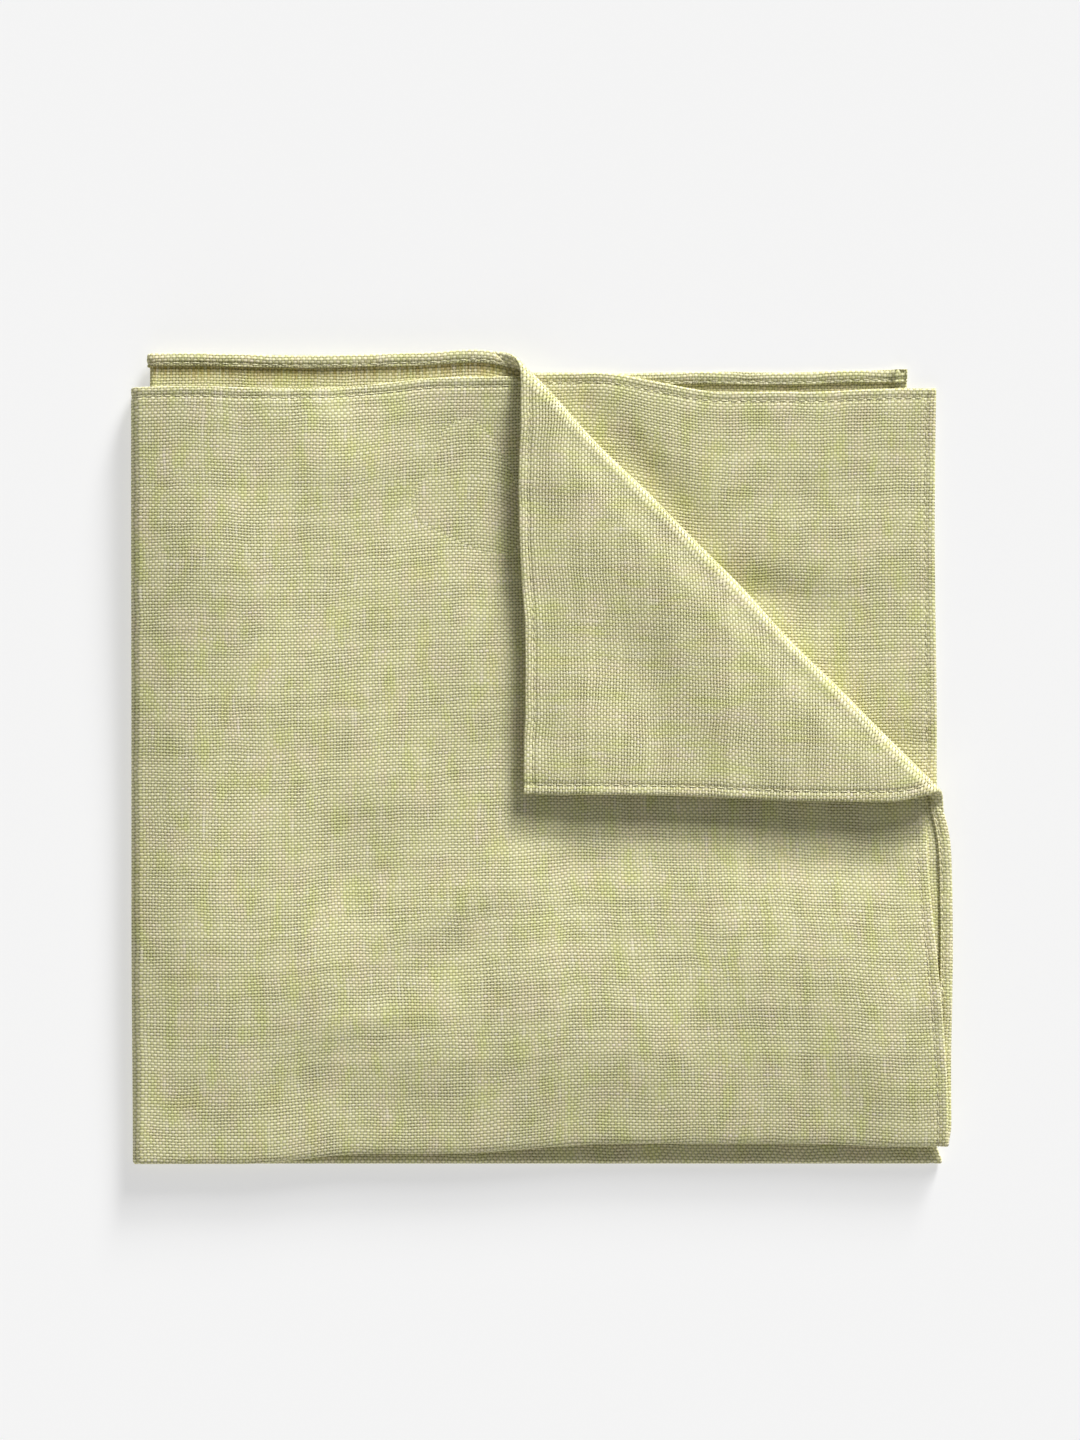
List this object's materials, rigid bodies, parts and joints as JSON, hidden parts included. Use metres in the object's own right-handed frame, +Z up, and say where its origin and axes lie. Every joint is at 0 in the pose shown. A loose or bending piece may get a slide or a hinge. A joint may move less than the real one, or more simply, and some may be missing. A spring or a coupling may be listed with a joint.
{
  "type": "folded table linen",
  "caption": "Square linen cloth folded in quarters and lying flat, with the free corner of its upper layers turned back along a diagonal crease.",
  "frame": {"origin": "centre of the packet's outline on the surface it lies on", "axes": "+Z up from that surface, +Y towards the free top edges, +X towards the free right edges"},
  "size_m": [0.2334, 0.2304, 0.0115],
  "materials": {
    "linen_cloth": "plain woven linen, pale green and cream threads",
    "linen_hem": "plain woven linen, turned twice and sewn",
    "sewing_thread": "matte cotton sewing thread"
  },
  "bodies": {
    "lower_leaf": {"hem_right_3": "linen_hem", "hem_right_4": "linen_hem", "hem_top_3": "linen_hem", "hem_top_4": "linen_hem", "inner_left_fold": "linen_cloth", "lower_bottom_fold": "linen_cloth", "outer_left_fold": "linen_cloth", "quarter_3": "linen_cloth", "quarter_4": "linen_cloth", "stitch_hem_right_3": "sewing_thread", "stitch_hem_right_4": "sewing_thread", "stitch_hem_top_3": "sewing_thread", "stitch_hem_top_4": "sewing_thread"},
    "upper_leaf": {"hem_right_1": "linen_hem", "hem_right_2": "linen_hem", "hem_top_1": "linen_hem", "hem_top_2": "linen_hem", "inner_corner_fold": "linen_cloth", "outer_corner_fold": "linen_cloth", "quarter_1": "linen_cloth", "quarter_2": "linen_cloth", "stitch_hem_right_1": "sewing_thread", "stitch_hem_right_2": "sewing_thread", "stitch_hem_top_1": "sewing_thread", "stitch_hem_top_2": "sewing_thread", "upper_bottom_fold": "linen_cloth"},
    "turned_corner": {"corner_1": "linen_cloth", "corner_2": "linen_cloth", "hem_right_corner_1": "linen_hem", "hem_right_corner_2": "linen_hem", "hem_top_corner_1": "linen_hem", "hem_top_corner_2": "linen_hem", "stitch_hem_right_corner_1": "sewing_thread", "stitch_hem_right_corner_2": "sewing_thread", "stitch_hem_top_corner_1": "sewing_thread", "stitch_hem_top_corner_2": "sewing_thread"}
  },
  "joints": [
    {"name": "leaf_opening", "type": "hinge", "parent": "lower_leaf", "child": "upper_leaf", "pos_m": [-0.1167, 0, 0.0035], "axis": [0, -1, 0], "range_deg": [0, 177], "deforming": ["outer_left_fold", "inner_left_fold"]},
    {"name": "corner_unfolding", "type": "hinge", "parent": "upper_leaf", "child": "turned_corner", "pos_m": [0.05595, 0.05025, 0.0079], "axis": [-0.6984, 0.7157, 0], "range_deg": [0, 180], "deforming": ["outer_corner_fold", "inner_corner_fold"]}
  ]
}
